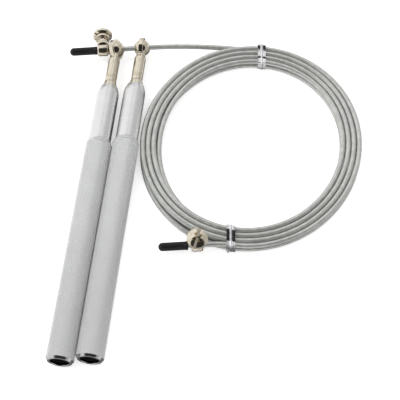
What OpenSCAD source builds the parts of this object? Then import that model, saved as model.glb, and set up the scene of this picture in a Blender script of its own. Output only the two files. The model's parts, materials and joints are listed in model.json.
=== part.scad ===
// Cable speed rope: two aluminium handles whose swivel eyes are threaded on one
// end of a coated steel cable. The cable lies in a coil held by two ties.
//
// The rope lies on a flat table. Z is up and z = 0 is the table. X and Y run
// along the table, and the origin is the middle of the footprint. Each handle
// is built on its own axis and then laid down: there +Z points from the bottom
// of the handle to the eye, and z = 0 is the middle of the eye.

/* [Cable] */
// Outside diameter of the coated cable
cable_d = 3.1; // [2.5:0.1:3.2]
// Distance between neighbouring strands in the coil
strand_pitch = 3.14; // [3.14:0.02:3.3]
// Mean radius of the innermost strand of the coil
coil_inner_r = 54.6; // [52:0.2:55]
// How far the coil is from a true circle, as a change of radius
coil_oval = 1.9; // [0:0.1:3]

/* [Handle] */
// Diameter of the knurled grip
grip_d = 15; // [14:0.1:15.2]
// Length of the knurled grip
grip_length = 132; // [100:1:150]
// Diameter of the open bore of the grip
grip_bore_d = 10; // [9:0.1:10.6]
// Diameter of the smooth bearing sleeve
sleeve_d = 12.7; // [12.4:0.1:13.4]
// Visible length of the smooth bearing sleeve
sleeve_length = 37.4; // [36:0.2:46]
// Distance between the axes of the two handles
handle_pitch = 15.25; // [15.25:0.05:15.4]
// Lean of the handles from the Y axis
handle_lean = 6.5; // [5:0.5:7]

/* [Swivel head] */
// Outside diameter of the eye ring
eye_d = 12.2; // [11.8:0.1:12.4]
// Width of the eye ring along its bore
eye_width = 2.8; // [2.4:0.1:3]
// Diameter of the swivel ball
ball_d = 9.9; // [9.6:0.1:10]
// Diameter of the stem between the eye and the sleeve
stem_d = 6.8; // [6:0.1:7.2]
// Distance from the middle of the eye to the top of the sleeve
stem_reach = 27.4; // [24:0.2:29]
// Lean of the left eye to the left, about its handle's axis
left_eye_roll = 26; // [0:1:28]
// Lean of the right eye to the left, about its handle's axis
right_eye_roll = 5; // [0:1:20]

/* [Clamp] */
// Diameter of the screw head
head_d = 11.5; // [10.5:0.1:12]
// Diameter of the collar round the cable
collar_d = 7.1; // [6.8:0.1:7.1]
// Length of the collar along the cable
collar_length = 6.5; // [6:0.1:6.5]
// Distance from the cable to the middle of the screw head's rim
head_reach = 11.8; // [11:0.2:12.6]

/* [End cap] */
// Outside diameter of the rubber cap
cap_d = 4.9; // [4.6:0.1:5]
// Length of the rubber cap
cap_length = 16.4; // [15:0.2:17]

/* [Tie] */
// Width of the strip
tie_width = 5; // [3:0.5:6]
// Thickness of the strip
tie_thickness = 0.5; // [0.4:0.05:0.55]

/* [Hidden] */
$fn = 48;

// Fits, as a gap on the radius
sliding_gap = 0.06;
running_gap = 0.04;
seat_gap = 0.01;
face_gap = 0.05;

// How far a cutting shape reaches past the shape it cuts, and one shape into its neighbour
over = 1;
into = 0.2;

cable_r = cable_d / 2;
grip_r = grip_d / 2;
sleeve_r = sleeve_d / 2;
ball_r = ball_d / 2;
stem_r = stem_d / 2;
collar_r = collar_d / 2;
collar_half = collar_length / 2;
head_r = head_d / 2;
cap_r = cap_d / 2;

// Where things lie on the table
cable_heading = 4.2;
eye_gap = handle_pitch / cos(handle_lean + cable_heading);
along_cable = [cos(cable_heading), sin(cable_heading), 0];
left_eye = [-56.65, 91.185, grip_r];
right_eye = left_eye + eye_gap * along_cable;

// The coil: two layers of four lanes, wound clockwise from above. The lower layer
// winds inwards, climbs to the top layer at its inner edge and winds outwards.
coil_centre = [22.03, 27.835];
lanes = 4;
coil_start = 78;
coil_stop = 270;
coil_turns = 2 * lanes - 1 + (coil_start + 360 - coil_stop) / 360;
oval_angle = 64.6;
tie_play = 0.1;
low_layer_z = tie_thickness + tie_play + cable_r;
layer_pitch = strand_pitch + 0.36;
top_layer_z = low_layer_z + layer_pitch;
lane_change_from = 0.49;
lane_change_to = 0.92;
climb_bulge = 1.4;

// Sides of the swept cable, and steps in one turn of the coil and in its other stretches
cable_sides = 8;
steps_per_turn = 36;
coil_side_steps = 6;
lead_steps = 6;
tail_steps = 5;

// The lead from the coil to the eyes bends at two joints
coil_side_joint = 0.36;
eye_side_joint = 0.62;
joint_cut = 0.8;

// The clamp at each end of the cable
clamp_1_from_eye = 7.85;
clamp_1_tip = -6;
clamp_2_at = [-8, -36.7, 5.2];
clamp_2_heading = 3.5;
clamp_2_tip = 82.5;
collar_flat = collar_r - 0.25;
straight_past_clamp_2 = 5.9;
slot_1_turn = 25;
slot_2_turn = 70;
cap_gap = 0.2;
cap_2_gap = 1.75;
cable_in_cap = 12.5;

// Heights inside the handle, measured down from the middle of the eye
sleeve_top = -stem_reach;
seam = sleeve_top - sleeve_length;
grip_end = seam - grip_length;
lip = 1.8;
bearing_bore_r = 2.5;
bearing_r = 5;
bearing_width = 4;
race_r = 3.75;
race_shoulder = 0.5;
bearing_ball_r = 0.78;
ball_count = 8;
front_bearing = sleeve_top - lip - face_gap;
spacer_length = 17.6;
spacer_top = front_bearing - bearing_width - face_gap;
rear_bearing = spacer_top - spacer_length - face_gap;
rear_face = rear_bearing - bearing_width;
snap_ring_thickness = 1;
thread_r = 2;
washer_thickness = 0.8;
nut_height = 3.2;
spigot_r = 5.6;
spigot_length = 10;

// ---------------------------------------------------------------- placing

module lay_handle(eye) {
    translate(eye) rotate([0, 0, -handle_lean]) rotate([-90, 0, 0]) children();
}

// The cable end at the eyes: local X runs along the cable, away from the cap
module at_clamp_1() {
    translate(left_eye - clamp_1_from_eye * along_cable)
        rotate([0, 0, cable_heading]) children();
}

module at_clamp_2() {
    translate(clamp_2_at) rotate([0, 0, clamp_2_heading]) children();
}

// ---------------------------------------------------------------- the cable

function smooth(t) = let (c = min(1, max(0, t))) c * c * (3 - 2 * c);

function lane(turn) =
    floor(turn) + smooth((turn - floor(turn) - lane_change_from)
                         / (lane_change_to - lane_change_from));

function lane_radius(at) =
    at <= lanes - 1 ? (lanes - 1 - at) * strand_pitch :
    at >= lanes ? (at - lanes) * strand_pitch :
    -climb_bulge * sin(180 * (at - lanes + 1));

function lane_height(at) =
    at <= lanes - 1 ? low_layer_z :
    at >= lanes ? top_layer_z :
    low_layer_z + layer_pitch * (at - lanes + 1);

function coil_point(turn) =
    let (angle = coil_start - 360 * turn,
         at = lane(turn),
         r = coil_inner_r + lane_radius(at) + coil_oval * cos(2 * (angle - oval_angle)))
    [coil_centre[0] + r * cos(angle), coil_centre[1] + r * sin(angle), lane_height(at)];

function hermite(a, da, b, db, t) =
    (2 * t * t * t - 3 * t * t + 1) * a + (t * t * t - 2 * t * t + t) * da
    + (3 * t * t - 2 * t * t * t) * b + (t * t * t - t * t) * db;

// Heading of the coil where it starts and where it stops
short_turn = 0.002;
start_step = coil_point(short_turn) - coil_point(0);
start_heading = start_step / norm(start_step);
stop_step = coil_point(coil_turns) - coil_point(coil_turns - short_turn);
stop_heading = stop_step / norm(stop_step);

// The lead, from the coil (t = 0) to the right eye (t = 1)
lead_pull = 78;
function lead_point(t) =
    hermite(coil_point(0), -lead_pull * start_heading,
            right_eye, -lead_pull * along_cable, t);

// The tail, from the coil (t = 0) to the straight piece in the second clamp (t = 1)
tail_along = [cos(clamp_2_heading), sin(clamp_2_heading), 0];
tail_start = clamp_2_at + (collar_half + straight_past_clamp_2) * tail_along;
tail_pull = 22;
function tail_point(t) =
    hermite(coil_point(coil_turns), tail_pull * stop_heading,
            tail_start, -tail_pull * tail_along, t);

cable_1_tip = left_eye
    - (clamp_1_from_eye + collar_half + cap_gap + cable_in_cap) * along_cable;
cable_2_tip = clamp_2_at - (collar_half + cap_2_gap + cable_in_cap) * tail_along;

coil_steps = round(coil_turns * steps_per_turn);
coil_path = concat(
    [for (i = [0 : coil_side_steps - 1]) lead_point(coil_side_joint * (1 - i / coil_side_steps))],
    [for (i = [0 : coil_steps]) coil_point(i * coil_turns / coil_steps)],
    [for (i = [1 : tail_steps]) tail_point(i / tail_steps)],
    [cable_2_tip]);
lead_path = [for (i = [0 : lead_steps])
    lead_point(coil_side_joint + (eye_side_joint - coil_side_joint) * i / lead_steps)];
end_path = concat(
    [for (i = [0 : lead_steps]) lead_point(eye_side_joint + (1 - eye_side_joint) * i / lead_steps)],
    [cable_1_tip]);

// Cuts the first or last stretch of a path back, to leave a gap at a joint
function cut_first(path, by) =
    let (step = path[1] - path[0])
    concat([path[0] + by * step / norm(step)], [for (i = [1 : len(path) - 1]) path[i]]);
function cut_last(path, by) =
    let (n = len(path), step = path[n - 2] - path[n - 1])
    concat([for (i = [0 : n - 2]) path[i]], [path[n - 1] + by * step / norm(step)]);

function ring_points(path, i) =
    let (n = len(path),
         ahead = path[min(n - 1, i + 1)] - path[max(0, i - 1)],
         along = ahead / norm(ahead),
         side = cross(along, [0, 0, 1]) / norm(cross(along, [0, 0, 1])),
         up = cross(side, along))
    [for (k = [0 : cable_sides - 1])
        let (turn = 360 * (k + 0.5) / cable_sides)
        path[i] + cable_r * (cos(turn) * side + sin(turn) * up)];

module swept_cable(path) {
    n = len(path);
    s = cable_sides;
    points = [for (i = [0 : n - 1]) each ring_points(path, i)];
    walls = [for (i = [0 : n - 2]) for (k = [0 : s - 1])
        [i * s + k, i * s + (k + 1) % s, (i + 1) * s + (k + 1) % s, (i + 1) * s + k]];
    first = [for (k = [0 : s - 1]) s - 1 - k];
    last = [for (k = [0 : s - 1]) (n - 1) * s + k];
    polyhedron(points, concat(walls, [first, last]), convexity = 10);
}

module cable_coil() {
    color("darkgray") swept_cable(cut_first(coil_path, joint_cut));
}

module cable_lead() {
    color("darkgray") swept_cable(cut_first(cut_last(lead_path, joint_cut), joint_cut));
}

module cable_end() {
    color("darkgray") swept_cable(cut_first(end_path, joint_cut));
}

// ---------------------------------------------------------------- the clamps

// Origin on the cable's axis, cable along X, screw along Z
module clamp_collar() {
    chamfer = 0.8;
    thread_r = 1.95;
    bore_r = cable_r + sliding_gap;
    color("wheat") difference() {
        rotate([0, 90, 0]) rotate_extrude() polygon([
            [bore_r, -collar_half], [collar_r - chamfer, -collar_half],
            [collar_r, chamfer - collar_half], [collar_r, collar_half - chamfer],
            [collar_r - chamfer, collar_half], [bore_r, collar_half]
        ]);
        cylinder(r = thread_r, h = collar_r + over);
        translate([-collar_half - over, -collar_r, collar_flat])
            cube([collar_length + 2 * over, collar_d, over]);
    }
}

module clamp_screw() {
    shank_r = 1.9;
    shank_start = cable_r + 0.08;
    flange_r = 3.4;
    flange = collar_flat + face_gap;
    flange_top = flange + 1.5;
    flange_edge = 0.3;
    neck_r = 2.75;
    neck_low = flange_top + 0.3;
    neck_top = flange_top + 2.4;
    bead_r = 4.5;
    rim_height = 3;
    rim_low = head_reach - rim_height / 2;
    rim_top = rim_low + rim_height;
    rim_edge = 0.8;
    bead_top = rim_low - 0.7;
    bead_low = bead_top - 1.1;
    throat_r = 4.1;
    throat = rim_low - 0.4;
    crown_r = head_r * 0.55;
    top = rim_top + 1.2;
    crown = top - 0.3;
    slot_width = 1.5;
    slot_depth = 1.1;
    recess_width = 1.3;
    recess_span = 5;
    recess_depth = 2.2;
    color("wheat") difference() {
        union() {
            translate([0, 0, shank_start])
                cylinder(r = shank_r, h = flange - shank_start + into);
            translate([0, 0, flange]) cylinder(r = flange_r, h = flange_top - flange);
            rotate_extrude() polygon([
                [0, flange_top - into / 2], [flange_r - flange_edge, flange_top - into / 2],
                [neck_r, neck_low], [neck_r, neck_top], [bead_r, bead_low], [bead_r, bead_top],
                [throat_r, throat], [throat_r, rim_low], [head_r - rim_edge, rim_low],
                [head_r, rim_low + rim_edge], [head_r, rim_top - rim_edge],
                [head_r - rim_edge, rim_top], [crown_r, crown], [0, top]
            ]);
        }
        translate([-head_r - over, -slot_width / 2, top - slot_depth])
            cube([head_d + 2 * over, slot_width, slot_depth + over]);
        for (turn = [0, 90]) rotate([0, 0, turn])
            translate([-recess_span / 2, -recess_width / 2, top - recess_depth])
                cube([recess_span, recess_width, recess_depth + over]);
    }
}

// Origin at the mouth, the closed end towards -X
module end_cap() {
    hole_depth = cable_in_cap + 0.5;
    color("black") difference() {
        rotate([0, -90, 0]) union() {
            cylinder(r = cap_r, h = cap_length - cap_r);
            translate([0, 0, cap_length - cap_r]) sphere(r = cap_r);
        }
        translate([-hole_depth, 0, 0]) rotate([0, 90, 0])
            cylinder(r = cable_r + running_gap, h = hole_depth + over);
    }
}

module clamp_collar_1() { at_clamp_1() rotate([clamp_1_tip - 90, 0, 0]) clamp_collar(); }
module clamp_screw_1() {
    at_clamp_1() rotate([clamp_1_tip - 90, 0, 0]) rotate([0, 0, slot_1_turn]) clamp_screw();
}
module end_cap_1() { at_clamp_1() translate([-collar_half - cap_gap, 0, 0]) end_cap(); }

module clamp_collar_2() { at_clamp_2() rotate([90 - clamp_2_tip, 0, 0]) clamp_collar(); }
module clamp_screw_2() {
    at_clamp_2() rotate([90 - clamp_2_tip, 0, 0]) rotate([0, 0, slot_2_turn]) clamp_screw();
}
module end_cap_2() { at_clamp_2() translate([-collar_half - cap_2_gap, 0, 0]) end_cap(); }

// ---------------------------------------------------------------- the ties

// A strip bent round the bundle, with its two ends twisted into a short tail
module tie(angle) {
    r_in = coil_inner_r + coil_oval * cos(2 * (angle - oval_angle));
    slack = 0.3;
    inner_slack = 0.5;
    low = 0;
    tail_r = 0.9;
    high = top_layer_z + cable_r + slack + tie_thickness;
    inside = r_in - cable_r - inner_slack - tie_thickness;
    outside = r_in + (lanes - 1) * strand_pitch + cable_r + slack + tie_thickness;
    corner = 1.6;
    tail_length = 2.4;
    color("gainsboro") translate([coil_centre[0], coil_centre[1], 0]) rotate([0, 0, angle]) {
        rotate([90, 0, 0]) linear_extrude(tie_width, center = true) difference() {
            rounded_rectangle(inside, low, outside, high, corner);
            rounded_rectangle(inside + tie_thickness, low + tie_thickness,
                              outside - tie_thickness, high - tie_thickness,
                              corner - tie_thickness);
        }
        translate([outside - tie_thickness / 2, 0, (low + high) / 2])
            rotate([0, 90, 0]) cylinder(r = tail_r, h = tail_length);
    }
}

module rounded_rectangle(x0, y0, x1, y1, r) {
    translate([x0 + r, y0]) square([x1 - x0 - 2 * r, y1 - y0]);
    translate([x0, y0 + r]) square([x1 - x0, y1 - y0 - 2 * r]);
    for (x = [x0 + r, x1 - r]) for (y = [y0 + r, y1 - r]) translate([x, y]) circle(r = r);
}

module tie_1() { tie(82); }
module tie_2() { tie(259); }

// ---------------------------------------------------------------- the handle

module tube(r_out, r_in, top, length) {
    translate([0, 0, top - length]) difference() {
        cylinder(r = r_out, h = length);
        translate([0, 0, -over]) cylinder(r = r_in, h = length + 2 * over);
    }
}

// Knurled tube, open at its bottom end and threaded for the sleeve at its top
module grip() {
    shoulder_r = sleeve_r + 0.15;
    shoulder_height = 2.4;
    shoulder_drop = 0.35;
    end_chamfer = 0.9;
    socket_r = spigot_r + face_gap;
    socket_depth = spigot_length + 0.5;
    bore_chamfer = 0.4;
    bore_r = grip_bore_d / 2;
    color("silver") difference() {
        rotate_extrude() polygon([
            [0, seam], [shoulder_r, seam],
            [grip_r - shoulder_drop, seam - shoulder_height / 2], [grip_r, seam - shoulder_height],
            [grip_r, grip_end + end_chamfer], [grip_r - end_chamfer, grip_end],
            [0, grip_end]
        ]);
        translate([0, 0, seam - socket_depth]) cylinder(r = socket_r, h = socket_depth + over);
        translate([0, 0, grip_end - over]) cylinder(r = bore_r, h = grip_length);
        translate([0, 0, grip_end])
            cylinder(r1 = bore_r + bore_chamfer, r2 = bore_r, h = bore_chamfer);
    }
}

// Smooth housing of the two bearings, with a spigot that screws into the grip
module sleeve() {
    taper_height = 5.2;
    cone_height = 3.4;
    cone_r = sleeve_r - 0.3;
    rim_r = sleeve_r - 1.4;
    edge = 0.25;
    mouth_r = 4.5;
    seat_r = bearing_r + seat_gap;
    groove_r = 5.35;
    spigot_low = seam - spigot_length;
    color("whitesmoke") difference() {
        rotate_extrude() polygon([
            [0, sleeve_top], [rim_r - edge, sleeve_top], [rim_r, sleeve_top - edge],
            [cone_r, sleeve_top - cone_height], [sleeve_r, sleeve_top - taper_height],
            [sleeve_r, seam + face_gap],
            [spigot_r, seam + face_gap], [spigot_r, spigot_low], [0, spigot_low]
        ]);
        translate([0, 0, sleeve_top - lip - over]) cylinder(r = mouth_r, h = lip + 2 * over);
        translate([0, 0, spigot_low - over])
            cylinder(r = seat_r, h = sleeve_top - lip - spigot_low + over);
        translate([0, 0, rear_face - 2 * face_gap - snap_ring_thickness])
            cylinder(r = groove_r, h = snap_ring_thickness + face_gap);
    }
}

// Eye ring, stem with a flared foot, and the journal that carries the bearings
module eye_spindle(roll) {
    socket_r = ball_r + running_gap;
    neck_r = 2.7;
    neck_top = 0.6 - ball_r;
    neck_low = -eye_d / 2 - 0.3;
    stem_top = -eye_d / 2 - 1.6;
    foot_r = 4.2;
    foot_top = sleeve_top + 3.2;
    foot_edge = sleeve_top + 0.9;
    foot_low = sleeve_top - lip + 0.4;
    shoulder_r = 3.1;
    thread_past_nut = 1.2;
    thread_end = rear_face - washer_thickness - nut_height - thread_past_nut;
    journal_r = bearing_bore_r - seat_gap;
    color("wheat") difference() {
        union() {
            rotate([0, 0, -roll]) rotate([0, 90, 0])
                cylinder(d = eye_d, h = eye_width, center = true);
            rotate_extrude() polygon([
                [0, neck_top], [neck_r, neck_top], [neck_r, neck_low],
                [stem_r, stem_top], [stem_r, foot_top], [foot_r, foot_edge],
                [foot_r, foot_low], [shoulder_r, foot_low], [shoulder_r, front_bearing],
                [journal_r, front_bearing], [journal_r, rear_face], [thread_r, rear_face],
                [thread_r, thread_end], [0, thread_end]
            ]);
        }
        sphere(r = socket_r);
    }
}

// Ball with two flats and the cable's bore through them, which lies along the cable
module swivel_ball() {
    flat = 4.5;
    bore_r = cable_r + sliding_gap;
    color("wheat") rotate([0, 90, cable_heading]) rotate_extrude() intersection() {
        circle(r = ball_r);
        translate([bore_r, -flat]) square([ball_r, 2 * flat]);
    }
}

module race_groove(top) {
    groove_r = bearing_ball_r + running_gap;
    translate([0, 0, top - bearing_width / 2])
        rotate_extrude() translate([race_r, 0]) circle(r = groove_r);
}

module outer_race(top) {
    color("lightsteelblue") difference() {
        tube(bearing_r, race_r + race_shoulder, top, bearing_width);
        race_groove(top);
    }
}

module inner_race(top) {
    color("lightsteelblue") difference() {
        tube(race_r - race_shoulder, bearing_bore_r, top, bearing_width);
        race_groove(top);
    }
}

module bearing_balls(top) {
    color("slategray") for (i = [0 : ball_count - 1]) rotate([0, 0, 360 * i / ball_count])
        translate([race_r, 0, top - bearing_width / 2]) sphere(r = bearing_ball_r);
}

module outer_spacer() {
    color("gray") tube(bearing_r - face_gap, race_r + race_shoulder, spacer_top, spacer_length);
}

module inner_spacer() {
    color("gray") tube(race_r - race_shoulder - face_gap, bearing_bore_r, spacer_top, spacer_length);
}

module snap_ring() {
    ring_r = 5.25;
    inner_r = 4.3;
    gap_width = 2;
    top = rear_face - 1.5 * face_gap;
    color("dimgray") difference() {
        tube(ring_r, inner_r, top, snap_ring_thickness - face_gap);
        translate([0, -gap_width / 2, top - snap_ring_thickness - over])
            cube([ring_r + over, gap_width, snap_ring_thickness + 2 * over]);
    }
}

module spindle_washer() {
    washer_r = 3.6;
    hole_r = thread_r + 0.1;
    color("silver") tube(washer_r, hole_r, rear_face - face_gap, washer_thickness);
}

module spindle_nut() {
    across_flats = 7;
    top = rear_face - 2 * face_gap - washer_thickness;
    color("dimgray") translate([0, 0, top - nut_height]) difference() {
        cylinder(d = across_flats / cos(30), h = nut_height, $fn = 6);
        translate([0, 0, -over]) cylinder(r = thread_r + seat_gap, h = nut_height + 2 * over);
    }
}

module grip_l() { lay_handle(left_eye) grip(); }
module sleeve_l() { lay_handle(left_eye) sleeve(); }
module eye_spindle_l() { lay_handle(left_eye) eye_spindle(left_eye_roll); }
module swivel_ball_l() { translate(left_eye) swivel_ball(); }
module front_outer_race_l() { lay_handle(left_eye) outer_race(front_bearing); }
module front_inner_race_l() { lay_handle(left_eye) inner_race(front_bearing); }
module front_balls_l() { lay_handle(left_eye) bearing_balls(front_bearing); }
module rear_outer_race_l() { lay_handle(left_eye) outer_race(rear_bearing); }
module rear_inner_race_l() { lay_handle(left_eye) inner_race(rear_bearing); }
module rear_balls_l() { lay_handle(left_eye) bearing_balls(rear_bearing); }
module outer_spacer_l() { lay_handle(left_eye) outer_spacer(); }
module inner_spacer_l() { lay_handle(left_eye) inner_spacer(); }
module snap_ring_l() { lay_handle(left_eye) snap_ring(); }
module spindle_washer_l() { lay_handle(left_eye) spindle_washer(); }
module spindle_nut_l() { lay_handle(left_eye) spindle_nut(); }

module grip_r() { lay_handle(right_eye) grip(); }
module sleeve_r() { lay_handle(right_eye) sleeve(); }
module eye_spindle_r() { lay_handle(right_eye) eye_spindle(right_eye_roll); }
module swivel_ball_r() { translate(right_eye) swivel_ball(); }
module front_outer_race_r() { lay_handle(right_eye) outer_race(front_bearing); }
module front_inner_race_r() { lay_handle(right_eye) inner_race(front_bearing); }
module front_balls_r() { lay_handle(right_eye) bearing_balls(front_bearing); }
module rear_outer_race_r() { lay_handle(right_eye) outer_race(rear_bearing); }
module rear_inner_race_r() { lay_handle(right_eye) inner_race(rear_bearing); }
module rear_balls_r() { lay_handle(right_eye) bearing_balls(rear_bearing); }
module outer_spacer_r() { lay_handle(right_eye) outer_spacer(); }
module inner_spacer_r() { lay_handle(right_eye) inner_spacer(); }
module snap_ring_r() { lay_handle(right_eye) snap_ring(); }
module spindle_washer_r() { lay_handle(right_eye) spindle_washer(); }
module spindle_nut_r() { lay_handle(right_eye) spindle_nut(); }

cable_coil();
cable_lead();
cable_end();
clamp_collar_1();
clamp_screw_1();
end_cap_1();
clamp_collar_2();
clamp_screw_2();
end_cap_2();
tie_1();
tie_2();
grip_l();
sleeve_l();
eye_spindle_l();
swivel_ball_l();
front_outer_race_l();
front_inner_race_l();
front_balls_l();
rear_outer_race_l();
rear_inner_race_l();
rear_balls_l();
outer_spacer_l();
inner_spacer_l();
snap_ring_l();
spindle_washer_l();
spindle_nut_l();
grip_r();
sleeve_r();
eye_spindle_r();
swivel_ball_r();
front_outer_race_r();
front_inner_race_r();
front_balls_r();
rear_outer_race_r();
rear_inner_race_r();
rear_balls_r();
outer_spacer_r();
inner_spacer_r();
snap_ring_r();
spindle_washer_r();
spindle_nut_r();
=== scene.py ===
"""A cable speed rope: two knurled handles on swivel eyes and a coiled cable with clamps, caps and ties."""

import json
import math

import bpy
import numpy as np
from mathutils import Matrix, Vector, noise


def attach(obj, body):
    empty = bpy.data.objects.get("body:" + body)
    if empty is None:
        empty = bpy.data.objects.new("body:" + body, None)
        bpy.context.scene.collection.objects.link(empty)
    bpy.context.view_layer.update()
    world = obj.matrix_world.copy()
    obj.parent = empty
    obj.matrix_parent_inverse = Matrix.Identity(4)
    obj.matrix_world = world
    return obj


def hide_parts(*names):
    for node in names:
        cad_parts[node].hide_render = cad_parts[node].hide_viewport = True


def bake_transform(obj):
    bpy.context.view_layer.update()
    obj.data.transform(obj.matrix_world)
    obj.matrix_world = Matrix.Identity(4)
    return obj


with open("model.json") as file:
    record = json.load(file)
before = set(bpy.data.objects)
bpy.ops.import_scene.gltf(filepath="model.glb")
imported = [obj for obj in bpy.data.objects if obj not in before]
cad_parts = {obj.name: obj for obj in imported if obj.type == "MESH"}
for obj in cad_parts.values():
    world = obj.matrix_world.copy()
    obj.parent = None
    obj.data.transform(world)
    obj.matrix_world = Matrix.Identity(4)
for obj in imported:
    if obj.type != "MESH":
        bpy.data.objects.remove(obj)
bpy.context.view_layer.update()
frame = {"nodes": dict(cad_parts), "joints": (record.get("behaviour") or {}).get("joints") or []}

MM = 0.001
TURN = 2 * math.pi
JOINTS = {joint["name"]: joint for joint in frame["joints"]}

# All sizes are in millimetres and all angles in degrees, unless a comment says otherwise.

# Cable: its thickness and its place in the bundle as in the CAD, its twisted strands only here
CABLE_R = 1.55
STRAND_PITCH = 3.14
STRANDS = 8
POINTS_PER_STRAND = 5
STRAND_LAY = 14.0
STRAND_RELIEF = 0.035
RING_STEP = 1.5

# Handle: heights are measured along its axis from the ball's centre
GRIP_R = 7.5
GRIP_BORE_R = 5.0
SLEEVE_R = 6.35
SLEEVE_TOP = -27.4
SEAM = SLEEVE_TOP - 37.4
GRIP_END = SEAM - 132
SPIGOT_R = 5.6
SPIGOT_LENGTH = 10
BEARING_R = 5.01

# Knurl of the grip
KNURLS_ROUND = 40
KNURL_DEPTH = 0.27
KNURL_FLAT = 0.42
KNURL_TOP = SEAM - 2.4
KNURL_BOTTOM = GRIP_END + 1.45
KNURL_ROWS = round((KNURL_TOP - KNURL_BOTTOM) / 1.17)

# Eye and ball
BALL_R = 4.95
BALL_FLAT = 4.5
SOCKET_R = BALL_R + 0.04
EYE_R = 6.1
EYE_HALF_WIDTH = 1.4
STEM_R = 3.4
EYE_LEAN = {"l": 26, "r": 5}

# Clamps: heights are measured from the cable's axis
COLLAR_R = 3.55
COLLAR_HALF = 3.25
COLLAR_FLAT = COLLAR_R - 0.25
BORE_GAP = 0.06
SHANK_R = 1.9
SCREW_TOP = 14.5
SLOT_HALF_WIDTH = 0.8
SLOT_DEPTH = 1.95
SLOT_TURN = {"1": 25, "2": 70}

# Rubber caps
CAP_R = 2.45
CAP_LENGTH = 16.4
CABLE_IN_CAP = 12.5
CAP_GAP = {"1": 0.2, "2": 1.75}

# Coil: two layers of four lanes, wound clockwise
COIL_CENTRE = (22.03, 27.835)
COIL_INNER_R = 54.6
COIL_OVAL = 1.9
OVAL_ANGLE = 64.6
LANES = 4
COIL_START = 78
COIL_STOP = 270
COIL_TURNS = 2 * LANES - 1 + (COIL_START + 360 - COIL_STOP) / 360
LOW_LAYER = 2.15
LAYER_PITCH = STRAND_PITCH + 0.36
TOP_LAYER = LOW_LAYER + LAYER_PITCH
CREST = TOP_LAYER + CABLE_R
# The share of a turn over which the cable moves to the next lane
LANE_CHANGE = (0.49, 0.92)
CLIMB_BULGE = 1.4

# The two ends of the cable outside the coil
LEAD_PULL = 78
TAIL_PULL = 22
STRAIGHT_TAIL = 5.9
BEND_REACH = 8.5

# Ties: a film strip with a wire ridge. A top is given as (distance from the strip's inner edge, height).
TIES = {"tie_1": 82, "tie_2": 259}
TIE_UPRIGHT = {"tie_1": 90, "tie_2": 270}
TIE_TOPS = {
    "tie_1": [(0, 7.42), (3.2, 7.42), (4.4, 7.75), (8.3, 7.75), (11.8, 8.65), (12.6, 8.4), (13.02, 6.6)],
    "tie_2": [(0, 6.6), (0.8, 8.8), (3.4, 8.9), (9.9, 7.42), (13.02, 7.35)],
}
TIE_HALF_WIDTH = 2.5
TIE_FILM = 0.11
TIE_GAP = 0.25
WIRE_R = 0.42
DRAPE = 0.03
CREASE = 0.018

# Camera: its aim and distance are in metres
CAMERA_ELEVATION = 62.8
CAMERA_DISTANCE = 0.6
CAMERA_AIM = Vector((-0.00645, -0.00637, 0))
CAMERA_LENS = 95.85


# ------------------------------------------------------------ places in the frame

def joint_point(name):
    return Vector(JOINTS[name]["pos_m"]) / MM


def joint_axis(name):
    return Vector(JOINTS[name]["axis"]).normalized()


def axes_at(origin, z_axis, x_hint):
    """A placement in metres whose local Z is z_axis and whose local X is as near x_hint as it can be."""
    z_axis = z_axis.normalized()
    y_axis = z_axis.cross(x_hint).normalized()
    x_axis = y_axis.cross(z_axis)
    place = Matrix((x_axis, y_axis, z_axis)).transposed().to_4x4()
    place.translation = origin * MM
    return place


UP = Vector((0, 0, 1))
ALONG_CABLE = -joint_axis("ball_l_turn")
ALONG_TAIL = joint_axis("clamp_2_slide")
EYES = {side: joint_point(f"ball_{side}_turn") for side in "lr"}
HANDLE_AXIS = joint_axis("handle_l_spin")
CLAMPS = {"1": joint_point("screw_1_turn"), "2": joint_point("screw_2_turn")}
CABLE_AT_CLAMP = {"1": ALONG_CABLE, "2": ALONG_TAIL}


def handle_place(side):
    return axes_at(EYES[side], HANDLE_AXIS, HANDLE_AXIS.cross(UP))


def clamp_place(number):
    return axes_at(CLAMPS[number], joint_axis(f"screw_{number}_turn"), CABLE_AT_CLAMP[number])


# ------------------------------------------------------------ mesh tools

def new_object(name, points, faces):
    """An object whose mesh is given in millimetres."""
    mesh = bpy.data.meshes.new(name)
    mesh.from_pydata([tuple(c * MM for c in p) for p in points], [], faces)
    mesh.update()
    piece = bpy.data.objects.new(name, mesh)
    bpy.context.scene.collection.objects.link(piece)
    return piece


def smooth(piece, sharp_angle=30):
    """Smooth shading, but for edges that bend by more than the angle."""
    piece.data.shade_smooth()
    piece.data.set_sharp_from_angle(angle=math.radians(sharp_angle))


def combine(piece, shape, operation):
    """Adds a second shape to a piece, or cuts it away."""
    tool = new_object("tool", *shape)
    step = piece.modifiers.new("step", "BOOLEAN")
    step.operation = operation
    step.object = tool
    step.solver = "EXACT"
    graph = bpy.context.evaluated_depsgraph_get()
    mesh = bpy.data.meshes.new_from_object(piece.evaluated_get(graph))
    piece.modifiers.clear()
    mesh.name = piece.name
    piece.data = mesh
    bpy.data.objects.remove(tool)


def finish_piece(piece, place, look, body, nodes, sharp_angle=30):
    """Puts a piece in its place, with its material, and lets it ride on its body for its CAD nodes."""
    smooth(piece, sharp_angle)
    piece.data.materials.clear()
    piece.data.materials.append(look)
    piece.matrix_world = place
    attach(piece, body)
    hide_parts(*nodes)


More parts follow.
